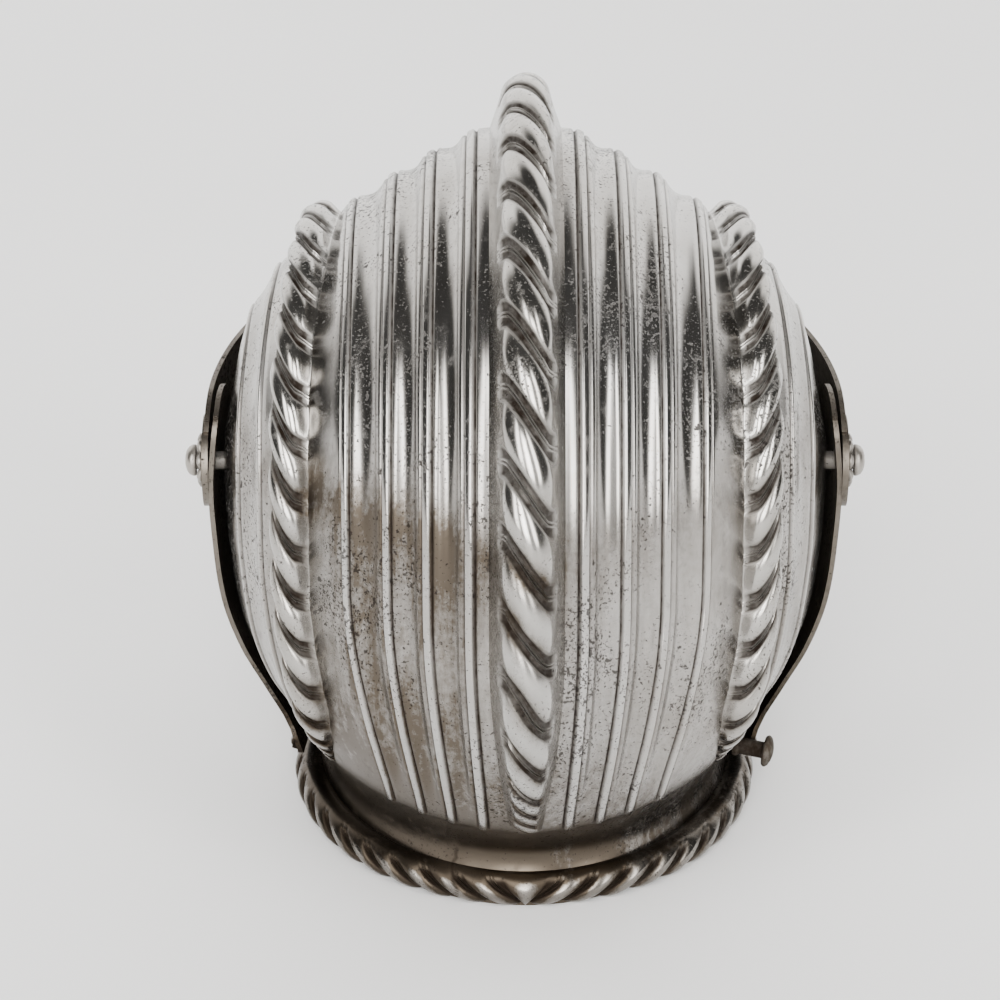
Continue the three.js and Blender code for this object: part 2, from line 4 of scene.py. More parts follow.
import bmesh
import bpy
import numpy as np
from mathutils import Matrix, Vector


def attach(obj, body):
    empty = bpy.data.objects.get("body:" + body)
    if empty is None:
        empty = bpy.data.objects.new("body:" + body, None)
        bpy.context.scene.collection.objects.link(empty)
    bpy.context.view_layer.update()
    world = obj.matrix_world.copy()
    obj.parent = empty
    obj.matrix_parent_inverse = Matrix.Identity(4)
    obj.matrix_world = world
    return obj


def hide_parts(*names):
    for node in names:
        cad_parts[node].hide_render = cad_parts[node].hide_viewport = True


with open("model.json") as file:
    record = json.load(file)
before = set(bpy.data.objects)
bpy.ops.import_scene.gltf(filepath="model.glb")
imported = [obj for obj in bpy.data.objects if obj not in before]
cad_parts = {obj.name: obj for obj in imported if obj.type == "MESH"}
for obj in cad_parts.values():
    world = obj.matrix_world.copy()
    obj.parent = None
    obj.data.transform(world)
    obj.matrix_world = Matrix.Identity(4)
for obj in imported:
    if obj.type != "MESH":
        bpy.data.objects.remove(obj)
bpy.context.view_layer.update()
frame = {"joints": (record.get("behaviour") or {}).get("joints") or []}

mm = 0.001
pivotAt = np.array(frame["joints"][0]["pos_m"])  # every shape is drawn round the pivot axis, in mm
pivotHeight = pivotAt[2] / mm


# small helpers

def smooth(start, end, value):
    t = np.clip((np.asarray(value, float) - start) / (end - start), 0, 1)
    return t * t * (3 - 2 * t)


def fromTable(table, key, column, at):  # smooth curve through a table's rows
    rows = sorted(table, key=lambda row: row[key])
    xs = np.array([row[key] for row in rows], float)
    ys = np.array([row[column] for row in rows], float)
    slopes = np.array([(ys[min(len(xs) - 1, i + 1)] - ys[max(0, i - 1)])
                       / (xs[min(len(xs) - 1, i + 1)] - xs[max(0, i - 1)]) for i in range(len(xs))])
    at = np.clip(np.asarray(at, float), xs[0], xs[-1])
    i = np.clip(np.searchsorted(xs, at, side="right") - 1, 0, len(xs) - 2)
    span = xs[i + 1] - xs[i]
    t = (at - xs[i]) / span
    return ((2 * t**3 - 3 * t**2 + 1) * ys[i] + (t**3 - 2 * t**2 + t) * span * slopes[i]
            + (3 * t**2 - 2 * t**3) * ys[i + 1] + (t**3 - t**2) * span * slopes[i + 1])


def unit(vectors):
    return vectors / np.maximum(np.linalg.norm(vectors, axis=-1, keepdims=True), 1e-12)


def gridFaces(rows, columns, start=0, flip=False, ringColumns=False):
    faces = []
    for i in range(rows - 1):
        for j in range(columns if ringColumns else columns - 1):
            k = (j + 1) % columns
            face = (start + i * columns + j, start + i * columns + k,
                    start + (i + 1) * columns + k, start + (i + 1) * columns + j)
            faces.append(face[::-1] if flip else face)
    return faces


def makePiece(name, points, faces, body, material, recess=None, sharpAngle=40, wear=None):
    mesh = bpy.data.meshes.new(name)
    mesh.from_pydata((np.asarray(points, float) * mm + pivotAt).tolist(), [], faces)
    for mark, values in (("recess", recess), ("wear", wear)):  # dark hollows, bright rubbed edges
        if values is not None:
            attribute = mesh.attributes.new(mark, "FLOAT", "POINT")
            attribute.data.foreach_set("value", np.asarray(values, np.float32).ravel())
    mesh.validate()
    piece = bpy.data.objects.new(name, mesh)
    bpy.context.scene.collection.objects.link(piece)
    finishPiece(piece, body, material, sharpAngle)
    return piece


def finishPiece(piece, body, material, sharpAngle):
    mesh = piece.data
    mesh.polygons.foreach_set("use_smooth", [True] * len(mesh.polygons))
    mesh.set_sharp_from_angle(angle=math.radians(sharpAngle))
    if not mesh.materials:
        mesh.materials.append(material)
    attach(piece, body)


def shellPoints(outer, inner):  # one closed plate from an outer and an inner grid of the same size
    rows, columns = outer.shape[:2]
    points = np.concatenate([outer.reshape(-1, 3), inner.reshape(-1, 3)])
    back = rows * columns
    faces = gridFaces(rows, columns) + gridFaces(rows, columns, back, flip=True)
    border = ([i * columns for i in range(rows)] + [(rows - 1) * columns + j for j in range(1, columns)]
              + [i * columns + columns - 1 for i in range(rows - 2, -1, -1)]
              + [j for j in range(columns - 2, 0, -1)])
    for a, b in zip(border, border[1:] + border[:1]):
        faces.append((a, b, b + back, a + back))
    return points, faces


# materials

def newGroup(name, inputs, outputs):
    group = bpy.data.node_groups.new(name, "ShaderNodeTree")
    for socketName, kind, value in inputs:
        socket = group.interface.new_socket(name=socketName, in_out="INPUT", socket_type=kind)
        if value is not None:
            socket.default_value = value
    for socketName, kind in outputs:
        group.interface.new_socket(name=socketName, in_out="OUTPUT", socket_type=kind)
    return group, group.nodes.new("NodeGroupInput"), group.nodes.new("NodeGroupOutput")


def addNode(tree, kind, inputs=None, **settings):
    node = tree.nodes.new(kind)
    for key, value in settings.items():
        setattr(node, key, value)
    for key, value in (inputs or {}).items():
        if isinstance(value, bpy.types.NodeSocket):
            tree.links.new(value, node.inputs[key])
        else:
            node.inputs[key].default_value = value
    return node


def ramp(tree, value, stops):
    node = tree.nodes.new("ShaderNodeValToRGB")
    while len(node.color_ramp.elements) < len(stops):
        node.color_ramp.elements.new(0.5)
    for element, (place, shade) in zip(node.color_ramp.elements, stops):
        element.position = place
        element.color = (shade, shade, shade, 1) if isinstance(shade, (int, float)) else (*shade, 1)
    tree.links.new(value, node.inputs["Fac"])
    return node.outputs["Color"]


def mixColor(tree, factor, first, second, blend="MIX"):
    node = addNode(tree, "ShaderNodeMix", data_type="RGBA", blend_type=blend)
    for index, value in ((0, factor), (6, first), (7, second)):
        if isinstance(value, bpy.types.NodeSocket):
            tree.links.new(value, node.inputs[index])
        else:
            node.inputs[index].default_value = value
    return node.outputs[2]


def math2(tree, operation, first, second, clamp=False):
    node = addNode(tree, "ShaderNodeMath", operation=operation, use_clamp=clamp)
    for index, value in ((0, first), (1, second)):
        if isinstance(value, bpy.types.NodeSocket):
            tree.links.new(value, node.inputs[index])
        else:
            node.inputs[index].default_value = value
    return node.outputs[0]


def noise(tree, vector, scale, detail, roughness=0.5):
    node = addNode(tree, "ShaderNodeTexNoise", {
        "Vector": vector, "Scale": scale, "Detail": detail, "Roughness": roughness})
    return node.outputs["Fac"]


def makePittingGroup():  # small dark corrosion pits, thick in some patches
    tree, start, end = newGroup("steelPitting", [
        ("Vector", "NodeSocketVector", None), ("Amount", "NodeSocketFloat", 0.5)],
        [("Pits", "NodeSocketFloat"), ("Height", "NodeSocketFloat")])
    vector, amount = start.outputs["Vector"], start.outputs["Amount"]
    patchMask = ramp(tree, noise(tree, vector, 26.0, 4.0, 0.6), [(0.36, 0.0), (0.66, 1.0)])
    thicker = math2(tree, "MULTIPLY", math2(tree, "MULTIPLY", patchMask, amount), 0.18)
    total = None
    for scale, low in ((520.0, 0.72), (1150.0, 0.70)):
        limit = math2(tree, "SUBTRACT", low, thicker)
        above = math2(tree, "SUBTRACT", noise(tree, vector, scale, 3.0, 0.55), limit)
        spot = math2(tree, "MULTIPLY", above, 22.0, clamp=True)
        total = spot if total is None else math2(tree, "MAXIMUM", total, spot)
    tree.links.new(total, end.inputs["Pits"])
    tree.links.new(math2(tree, "MULTIPLY", total, -1.0), end.inputs["Height"])
    return tree


def makePolishGroup():  # hand polishing: uneven sheen, fine scratches, shallow hammer waves
    tree, start, end = newGroup("steelPolish", [
        ("Vector", "NodeSocketVector", None), ("Rough", "NodeSocketFloat", 0.25)],
        [("Roughness", "NodeSocketFloat"), ("Height", "NodeSocketFloat")])
    vector = start.outputs["Vector"]
    cloud = noise(tree, vector, 16.0, 5.0, 0.6)
    stretch = addNode(tree, "ShaderNodeMapping", {"Vector": vector, "Scale": (900.0, 60.0, 60.0)})
    lines = noise(tree, stretch.outputs["Vector"], 1.0, 2.0)
    waves = noise(tree, vector, 48.0, 1.0)
    uneven = ramp(tree, cloud, [(0.3, 0.72), (0.7, 1.45)])
    rough = math2(tree, "MULTIPLY", start.outputs["Rough"], uneven)
    fine = math2(tree, "MULTIPLY", lines, 0.05)
    height = math2(tree, "ADD", math2(tree, "MULTIPLY", waves, 0.8), math2(tree, "MULTIPLY", lines, 0.06))
    tree.links.new(math2(tree, "ADD", rough, fine), end.inputs["Roughness"])
    tree.links.new(height, end.inputs["Height"])
    return tree


def makePatinaGroup():  # warm and cool steel, brown tarnish in streaks, dark stain in recesses and spots; the tarnish amount also lays on painted shade and painted dark reflections
    tree, start, end = newGroup("steelPatina", [
        ("Vector", "NodeSocketVector", None), ("Recess", "NodeSocketFloat", 0.0),
        ("Wear", "NodeSocketFloat", 0.0), ("TarnishAndShade", "NodeSocketFloat", 0.0),
        ("Steel", "NodeSocketColor", (0.6, 0.59, 0.57, 1)),
        ("Stain", "NodeSocketColor", (0.05, 0.03, 0.02, 1)), ("Amount", "NodeSocketFloat", 0.4)],
        [("Color", "NodeSocketColor"), ("Stained", "NodeSocketFloat"), ("DiscolourAndShade", "NodeSocketFloat")])
    vector = start.outputs["Vector"]
    drift = noise(tree, vector, 11.0, 6.0, 0.65)
    speck = noise(tree, vector, 150.0, 5.0, 0.7)
    grain = noise(tree, vector, 460.0, 4.0, 0.7)
    upright = addNode(tree, "ShaderNodeMapping", {"Vector": vector, "Scale": (120.0, 120.0, 15.0)})
    streak = noise(tree, upright.outputs["Vector"], 1.0, 6.0, 0.7)
    tone = ramp(tree, drift, [(0.33, (0.62, 0.595, 0.56)), (0.47, (0.90, 0.885, 0.865)), (0.62, 1.0)])
    base = mixColor(tree, 1.0, start.outputs["Steel"], tone, "MULTIPLY")
    patch = ramp(tree, streak, [(0.36, 1.3), (0.50, 0.95), (0.64, 0.65)])
    mottle = ramp(tree, grain, [(0.36, 1.16), (0.50, 1.0), (0.64, 0.84)])
    patch = math2(tree, "MULTIPLY", patch, mottle)
    rubbed = math2(tree, "SUBTRACT", 1.0, math2(tree, "MULTIPLY", start.outputs["Wear"], 0.85))
    unrubbed = math2(tree, "MULTIPLY", start.outputs["TarnishAndShade"], rubbed)
    discolourAndShade = math2(tree, "MULTIPLY", unrubbed, patch, clamp=True)
    # the brown tarnish colour, laid on by an amount that also paints shade and dark reflections
    base = mixColor(tree, discolourAndShade, base, mixColor(tree, 1.0, base, (0.20, 0.17, 0.138, 1), "MULTIPLY"))
    speckMask = ramp(tree, speck, [(0.57, 0.0), (0.74, 1.0)])
    spots = math2(tree, "MULTIPLY", speckMask, start.outputs["Amount"])
    deep = math2(tree, "MULTIPLY", start.outputs["Recess"], ramp(tree, speck, [(0.25, 0.75), (0.6, 1.0)]))
    stained = math2(tree, "MAXIMUM", spots, deep, clamp=True)
    tree.links.new(mixColor(tree, stained, base, start.outputs["Stain"]), end.inputs["Color"])
    tree.links.new(stained, end.inputs["Stained"])
    tree.links.new(discolourAndShade, end.inputs["DiscolourAndShade"])
    return tree


pittingGroup, polishGroup, patinaGroup = makePittingGroup(), makePolishGroup(), makePatinaGroup()


def makeSteel(name, look):
    material = bpy.data.materials.new(name)
    material.use_nodes = True
    tree = material.node_tree
    tree.nodes.clear()
    coords = tree.nodes.new("ShaderNodeTexCoord").outputs["Object"]
    recess = addNode(tree, "ShaderNodeAttribute", attribute_name="recess").outputs["Fac"]
    patina = addNode(tree, "ShaderNodeGroup", node_tree=patinaGroup)
    polish = addNode(tree, "ShaderNodeGroup", node_tree=polishGroup)
    pitting = addNode(tree, "ShaderNodeGroup", node_tree=pittingGroup)
    for group in (patina, polish, pitting):
        tree.links.new(coords, group.inputs["Vector"])
    tree.links.new(recess, patina.inputs["Recess"])
    wear = addNode(tree, "ShaderNodeAttribute", attribute_name="wear").outputs["Fac"]
    tree.links.new(wear, patina.inputs["Wear"])
    place = addNode(tree, "ShaderNodeSeparateXYZ", {"Vector": coords})
    height = math2(tree, "MULTIPLY", place.outputs["Z"], 4.0, clamp=True)  # from the rim to the comb's top
    across = math2(tree, "MULTIPLY", place.outputs["X"], 5.0)
    across = math2(tree, "ADD", across, 0.5)  # 0 at the right ear, 1 at the left
    # painted shade: the tarnish and its painted shade lie heavier over the left side, most between the
    # middle and the left ear
    leftSideShade = ramp(tree, across, [(0.3, 0.7), (0.5, 1.2), (0.7, 1.85), (0.85, 1.3), (0.97, 0.5)])
    # tarnish by height with painted shade, from the look's table, times the left-side shade
    tarnishAndShade = math2(tree, "MULTIPLY", ramp(tree, height, look["tarnishAndShade"]), leftSideShade)
    tree.links.new(tarnishAndShade, patina.inputs["TarnishAndShade"])
    patina.inputs["Steel"].default_value = (*look["steel"], 1)
    patina.inputs["Stain"].default_value = (*look["stain"], 1)
    patina.inputs["Amount"].default_value = look["spots"]
    polish.inputs["Rough"].default_value = look["rough"]
    pitting.inputs["Amount"].default_value = look["pits"]
    color = mixColor(tree, math2(tree, "MULTIPLY", pitting.outputs["Pits"], 0.85),
                     patina.outputs["Color"], (*look["pit"], 1))
    dull = math2(tree, "MAXIMUM", patina.outputs["Stained"], pitting.outputs["Pits"])
    clouded = math2(tree, "MULTIPLY", patina.outputs["DiscolourAndShade"], 0.16)
    worn = math2(tree, "ADD", math2(tree, "MULTIPLY", dull, 0.35), clouded)
    roughness = math2(tree, "ADD", polish.outputs["Roughness"], worn, clamp=True)
    metallic = math2(tree, "SUBTRACT", 1.0, math2(tree, "MULTIPLY", dull, 0.85), clamp=True)
    pitDepth = math2(tree, "MULTIPLY", pitting.outputs["Height"], 0.03)
    relief = math2(tree, "ADD", polish.outputs["Height"], pitDepth)
    bump = addNode(tree, "ShaderNodeBump", {"Strength": look["bump"], "Distance": 0.0006, "Height": relief})
    shader = addNode(tree, "ShaderNodeBsdfPrincipled", {
        "Base Color": color, "Roughness": roughness, "Metallic": metallic,
        "Normal": bump.outputs["Normal"], "Specular IOR Level": 0.06})
    out = tree.nodes.new("ShaderNodeOutputMaterial")
    tree.links.new(shader.outputs["BSDF"], out.inputs["Surface"])
    return material


plateLook = {
    "steel": (0.50, 0.49, 0.475), "stain": (0.010, 0.0062, 0.0038), "pit": (0.008, 0.006, 0.005),
    "spots": 0.30, "rough": 0.11, "pits": 0.9, "bump": 0.3,
    "tarnishAndShade": [  # by height, as a share of the whole; real tarnish together with painted shade, heavy at the neck and over the lower half, with a rise at 0.57 for painted dark reflections
        (0.12, 1.3), (0.19, 0.80), (0.28, 0.60), (0.40, 0.46),
        (0.50, 0.52), (0.57, 0.75), (0.64, 0.2), (0.8, 0.1)],
}
# the bevor's and visor's tarnish with painted shade, darker towards the bottom
frontLook = dict(plateLook, tarnishAndShade=[(0.12, 0.5), (0.4, 0.28), (0.8, 0.1)])
ropeLook = dict(plateLook, steel=(0.49, 0.48, 0.46), spots=0.35, rough=0.13, pits=0.8)
# painted shade: the rim is a darker copy of the rope steel, for the contact shadow and dark reflections
# round it
rimShadeLook = dict(ropeLook, steel=(0.30, 0.285, 0.265), spots=0.6)
# painted shade: a dark copy of the plate steel for the skull's inside and cut edges
insideShadeLook = dict(plateLook, steel=(0.16, 0.145, 0.13), spots=0.6, rough=0.5, pits=0.9)
# painted shade: dark steel for the cut edges and insides of the bevor and visor
edgeShadeLook = dict(plateLook, steel=(0.22, 0.20, 0.175), spots=0.5, rough=0.34, pits=0.9)
fittingLook = dict(plateLook, steel=(0.50, 0.48, 0.45), spots=0.35, rough=0.3, pits=0.6)
plateSteel = makeSteel("polishedPlate", plateLook)
frontSteel = makeSteel("plainFront", frontLook)
ropeSteel = makeSteel("ropedSteel", ropeLook)
rimShadeSteel = makeSteel("rimShadeSteel", rimShadeLook)
insideShadeSteel = makeSteel("insidePaintedShade", insideShadeLook)
fittingSteel = makeSteel("fittingSteel", fittingLook)
edgeShadeSteel = makeSteel("plateEdgeShade", edgeShadeLook)
print("materials made")


# the skull's form, the same as the solid it stands for

skull = {
    "halfWidth": 98, "radius": 113, "centre": (5, 2), "backFullness": 5, "faceEdge": (-20, 4),
    "browAngle": 10, "roofDrop": 0.1, "roofSkew": 1.1, "edgeTaper": 0.026, "edgeShare": 0.3, "wall": 1.8,
    "templeDraw": {"amount": 0.5, "degrees": (65, 15)},
    "swell": {"brow": -0.036, "crown": -0.012, "back": 0.021, "at": 0.2, "width": 0.18,
              "browDegrees": (105, 45), "backDegrees": (115, 175), "neckHeights": (-85, -45)},
    "sections": [
        {"height": 12, "halfWidth": 98, "back": 122.4, "roof": 1.0},
        {"height": 4, "halfWidth": 98, "back": 123, "roof": 1.0},
        {"height": -8, "halfWidth": 98, "back": 124.2, "roof": 0.98},
        {"height": -22, "halfWidth": 97.4, "back": 125.6, "roof": 0.9},
        {"height": -46, "halfWidth": 94.6, "back": 121.5, "roof": 0.75},
        {"height": -64, "halfWidth": 89.3, "back": 112.5, "roof": 0.6},
        {"height": -80, "halfWidth": 81, "back": 100, "roof": 0.35},
        {"height": -92, "halfWidth": 74.8, "back": 87.5, "roof": 0.1},
        {"height": -101, "halfWidth": 71.2, "back": 79, "roof": 0},
        {"height": -106, "halfWidth": 70.4, "back": 77.5, "roof": 0},
        {"height": -113, "halfWidth": 71.6, "back": 79.5, "roof": 0},
        {"height": -121.5, "halfWidth": 72, "back": 80, "roof": 0},
    ],
    "ridges": [17.5, 30.5, 43, 56], "sideRidges": [0.45, 0.73], "ridgeHeight": 0.7, "ridgeHalf": 1.15,
    "ridgeDraw": {"amount": 0.24, "ways": (1.05, 1.8)},  # the ridges close up towards the neck
    "lineDepth": 0.65, "lineHalf": 0.42, "lineGap": 0.55, "lineEnd": (1.735, 1.705), "outerLine": 0.7,
    "fluteDepth": 1.7, "fluteEnd": (1.72, 1.45), "fluteShares": (1, 1, 1, 1, 1, 0.7, 0.5, 0.4, 0),
    "neckInset": 1.0, "neckStart": (1.715, 1.74),
}
lateralLine = {"brow": 66, "widest": 73, "nape": 62.4, "grows": (0.4, 0.85), "shrinks": (1.1, 1.8)}


def skullStation(way):  # 0 to 1 turns from the brow over the crown to the back, 1 to 2 goes down
    edgeY, edgeZ = skull["faceEdge"]
    full = skull["swell"]
    if way <= 1:
        angle = skull["browAngle"] + (180 - skull["browAngle"]) * way
        turn = math.radians(angle)
        direction = (-math.cos(turn), math.sin(turn))
        radius = skull["radius"] + skull["backFullness"] * max(0, (angle - 100) / 80) ** 2
        dy, dz = skull["centre"][0] - edgeY, skull["centre"][1] - edgeZ
        along = direction[0] * dy + direction[1] * dz
        reach = along + math.sqrt(along * along - dy * dy - dz * dz + radius * radius)
        temple = 1 + skull["templeDraw"]["amount"] * smooth(*skull["templeDraw"]["degrees"], angle)
        swell = (full["crown"] + (full["brow"] - full["crown"]) * float(smooth(*full["browDegrees"], angle))
                 + (full["back"] - full["crown"]) * float(smooth(*full["backDegrees"], angle)))
        return (edgeY, edgeZ), direction, reach, skull["halfWidth"], 1.0, temple, swell
    height = edgeZ - (way - 1) * (pivotHeight + edgeZ)
    back, halfWidth, roof = (float(fromTable(skull["sections"], "height", name, height))
                             for name in ("back", "halfWidth", "roof"))
    swell = full["back"] * float(smooth(*full["neckHeights"], height))
    return (edgeY, height), (1.0, 0.0), back - edgeY, halfWidth, roof, 1.0, swell


def skullRow(way, turns):  # points across the skull, turns are angles from the middle plane
    origin, direction, reach, halfWidth, roof, temple, swell = skullStation(way)
    full = skull["swell"]
    share = np.sin(turns)
    around = np.power(np.maximum(0, 1 - share * share), temple / 2)
    fuller = 1 - skull["edgeTaper"] * np.maximum(0, 1 - around / skull["edgeShare"]) ** 2
    fuller = fuller + swell * np.exp(-((around - full["at"]) / full["width"]) ** 2)
    drop = skull["roofDrop"] * roof * np.sin(np.pi * np.abs(share) ** skull["roofSkew"])
    out = reach * (around - drop)
    y, z = origin[0] + direction[0] * out, origin[1] + direction[1] * out
    return np.stack([halfWidth * share * fuller, y, z], -1)


def ridgeSpread(way):
    return 1 - skull["ridgeDraw"]["amount"] * float(smooth(*skull["ridgeDraw"]["ways"], way))


def lateralOffset(way):
    wider = (lateralLine["widest"] - lateralLine["brow"]) * float(smooth(*lateralLine["grows"], way))
    closer = (lateralLine["widest"] - lateralLine["nape"]) * float(smooth(*lateralLine["shrinks"], way))
    return lateralLine["brow"] + wider - closer


def fluteFade(way):  # the hollows run out gently, the lines go on to the neck
    return float(smooth(*skull["fluteEnd"], way)), float(smooth(*skull["lineEnd"], way))


def gridNormals(points):
    along = np.gradient(points, axis=0)
    across = np.gradient(points, axis=1)
    return unit(np.cross(across, along))


neckCrack = {"x": 22.8, "top": (-101, -104), "bottom": (-119, -117), "half": 0.75,
             "stain": (5.5, 4), "stainAt": -109, "stainDepth": 0.4}


def crackMarks(points):  # an old split at the nape, with brown stain round it
    x, z = points[..., 0], points[..., 2]
    behind = points[..., 1] > 0
    line = neckCrack["x"] + 0.7 * np.sin(z * 0.55) + 0.3 * np.sin(z * 1.7)
    inside = smooth(*neckCrack["top"], z) * smooth(*neckCrack["bottom"], z)
    split = np.exp(-((x - line) / neckCrack["half"]) ** 2) * inside
    wide, tall = neckCrack["stain"]
    spread = np.exp(-((x - neckCrack["x"]) / wide) ** 2 - ((z - neckCrack["stainAt"]) / tall) ** 2)
    return np.maximum(split, neckCrack["stainDepth"] * spread) * behind


def makeSkullPlate():
    ways = np.concatenate([np.linspace(0, 1, 200), np.linspace(1, 2, 120)[1:]])
    half = skull["ridgeHalf"]
    ridgeSteps = [0.6, 1.0, 1.25, 1.5, 1.75, 2.0, 2.3, 2.9]  # mm from a ridge's middle
    nearRidge = [-step for step in ridgeSteps[::-1]] + [0.0] + ridgeSteps
    leastScale = 20
    fluteSteps = 7

    def ridgeRelief(offset):  # flat band with an incised line along each side
        distance = abs(offset)
        share = 1.0 if offset < 0 else skull["outerLine"]  # cut deeper on the side towards the middle
        line = math.exp(-((distance - half - skull["lineGap"]) / (skull["lineHalf"] * share)) ** 2)
        top = 1 - float(smooth(half - 0.3, half + 0.35, distance))
        rise = skull["ridgeHeight"] * top - skull["lineDepth"] * line * share
        return rise, min(1, 1.5 * line) * share, top

    rows, relief, recess, wear = [], [], [], []
    for way in ways:
        reach, halfWidth = skullStation(way)[2:4]
        comb = lateralOffset(way) / halfWidth
        shares = [0] + [ridge * ridgeSpread(way) / halfWidth for ridge in skull["ridges"]] + [comb]
        shares += [comb + (1 - comb) * step for step in skull["sideRidges"]] + [1]
        anchors = np.arcsin(np.clip(shares, 0, 1))
        scale = np.sqrt((halfWidth * np.cos(anchors)) ** 2 + (reach * np.sin(anchors)) ** 2)
        scale = np.maximum(scale, leastScale)
        hollow, fade = fluteFade(way)
        inset = -skull["neckInset"] * float(smooth(*skull["neckStart"], way))
        turns, lift, mark, rubbed = [0.0], [inset], [0.0], [0.0]
        last = 0.0
        for k in range(1, len(anchors)):
            ridge = k in (1, 2, 3, 4, 6, 7)
            reachHere = nearRidge if ridge else ([-0.5, 0, 0.5] if k == 5 else [0.0])
            first = anchors[k] + reachHere[0] / scale[k]
            depth = skull["fluteDepth"] * skull["fluteShares"][k] * hollow
            for s in range(1, fluteSteps + 1):  # hollow of the flute
                f = s / (fluteSteps + 1)
                turns.append(last + (first - last) * f)
                lift.append(inset - depth * math.sin(math.pi * f))
                mark.append(0.0)
                rubbed.append(0.0)
            for offset in reachHere:
                turns.append(anchors[k] + offset / scale[k])
                rise, line, top = ridgeRelief(offset) if ridge else (0.0, 0.0, 0.0)
                lift.append(rise * fade + inset)
                mark.append(line * fade)
                rubbed.append(top * fade)
            last = turns[-1]
        turns = np.minimum(np.array(turns), math.pi / 2)
        rows.append(skullRow(way, np.concatenate([-turns[:0:-1], turns])))
        relief.append(lift[:0:-1] + lift)
        recess.append(mark[:0:-1] + mark)
        wear.append(rubbed[:0:-1] + rubbed)
    base = np.array(rows)
    normals = gridNormals(base)
    normals[:, 0], normals[:, -1] = normals[:, 1], normals[:, -2]
    points = base + normals * np.array(relief)[..., None]
    recess = np.maximum(np.array(recess), crackMarks(points))
    piece = makePiece("skull_plate", points.reshape(-1, 3), gridFaces(*points.shape[:2]),
                      "skull", plateSteel, recess, 60, wear)
    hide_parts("skull")
    # the inside and the cut edges, coarser, in the dark steel of painted shade
    keepRows = list(range(0, len(ways), 5))
    keepColumns = list(range(0, base.shape[1], 4))
    if keepRows[-1] != len(ways) - 1:
        keepRows.append(len(ways) - 1)
    if keepColumns[-1] != base.shape[1] - 1:
        keepColumns.append(base.shape[1] - 1)
    outer = points[np.ix_(keepRows, keepColumns)]
    inner = (points - normals * (skull["wall"] + 0.6))[np.ix_(keepRows, keepColumns)]
    shell, faces = shellPoints(outer, inner)
    faces = faces[(len(keepRows) - 1) * (len(keepColumns) - 1):]
    makePiece("skull_inside", shell, faces, "skull", insideShadeSteel,
              np.zeros(len(shell)), 50)


# ropes

ropeCut = {  # in strands from the groove's middle
    "edge": 0.2, "valley": 0.12, "cord": 0.028, "cordHalf": 0.013, "shoulder": 0.40, "cordRise": 0.42,
    "steps": [0, 0.009, 0.016, 0.022, 0.028, 0.034, 0.041, 0.05, 0.065, 0.085, 0.105, 0.125, 0.145, 0.165,
              0.185, 0.205, 0.235, 0.28, 0.34, 0.42, 0.5],
}


def strandProfile(gap):  # depth below the crown and darkness; two fine cords lie in each groove
    shoulder = ropeCut["shoulder"]
    if gap >= ropeCut["edge"]:
        t = (gap - ropeCut["edge"]) / (0.5 - ropeCut["edge"])
        return shoulder * (1 - math.sin(math.pi / 2 * t) ** 0.8), 0.45 * float(smooth(0.14, 0.0, t))
    cord = math.exp(-((gap - ropeCut["cord"]) / ropeCut["cordHalf"]) ** 2)
    low = shoulder + (1 - shoulder) * float(smooth(ropeCut["edge"], ropeCut["valley"], gap))
    dark = 0.45 + 0.55 * float(smooth(0.195, 0.16, gap))
    return low - ropeCut["cordRise"] * cord, dark * (1 - 0.9 * cord)


def strandTable(strands):  # places along the rope, in strands, with depth and darkness
    gaps = ropeCut["steps"] + [1 - g for g in ropeCut["steps"][-2:0:-1]]
    places = [k + g for k in range(strands) for g in gaps] + [strands]
    return [(p, *strandProfile(min(p % 1, 1 - p % 1))) for p in places]


def ropePoints(ground, middle, outs, strands, lean, depth, section, heights, centre, ropeTo=1.0):
    # ground holds the rope's seat at even steps for each column of the section: across, up, roped
    across = np.clip([row[0] for row in section], -ropeTo, ropeTo)
    up = np.array([row[1] for row in section])
    roped = np.array([row[2] for row in section])
    columns = np.arange(len(section))
    last = len(ground) - 1
    rows, marks, wear = [], [], []
    for place, low, dark in strandTable(strands):
        t = place / strands
        at = np.clip(t + lean(t) * across / strands, 0, 1) * last
        i = np.minimum(at.astype(int), last - 1)
        f = (at - i)[:, None]
        seat = ground[i, columns] * (1 - f) + ground[i + 1, columns] * f
        centreLine = middle[i] * (1 - f) + middle[i + 1] * f
        out = outs[i] * (1 - f) + outs[i + 1] * f
        height = np.interp(at, np.arange(last + 1), heights)
        shrink = 1 - depth * low * roped
        lift = (centre + (up - centre) * shrink) * height
        rows.append(centreLine + (seat - centreLine) * shrink[:, None] + out * lift[:, None])
        marks.append(dark * smooth(0.1, 0.55, roped))
        wear.append(max(0.0, 1 - low / 0.35) * roped)
    return np.array(rows), np.array(marks), np.array(wear)


def capEnds(rows, columns):
    return [tuple(range(columns))[::-1], tuple((rows - 1) * columns + j for j in range(columns))]


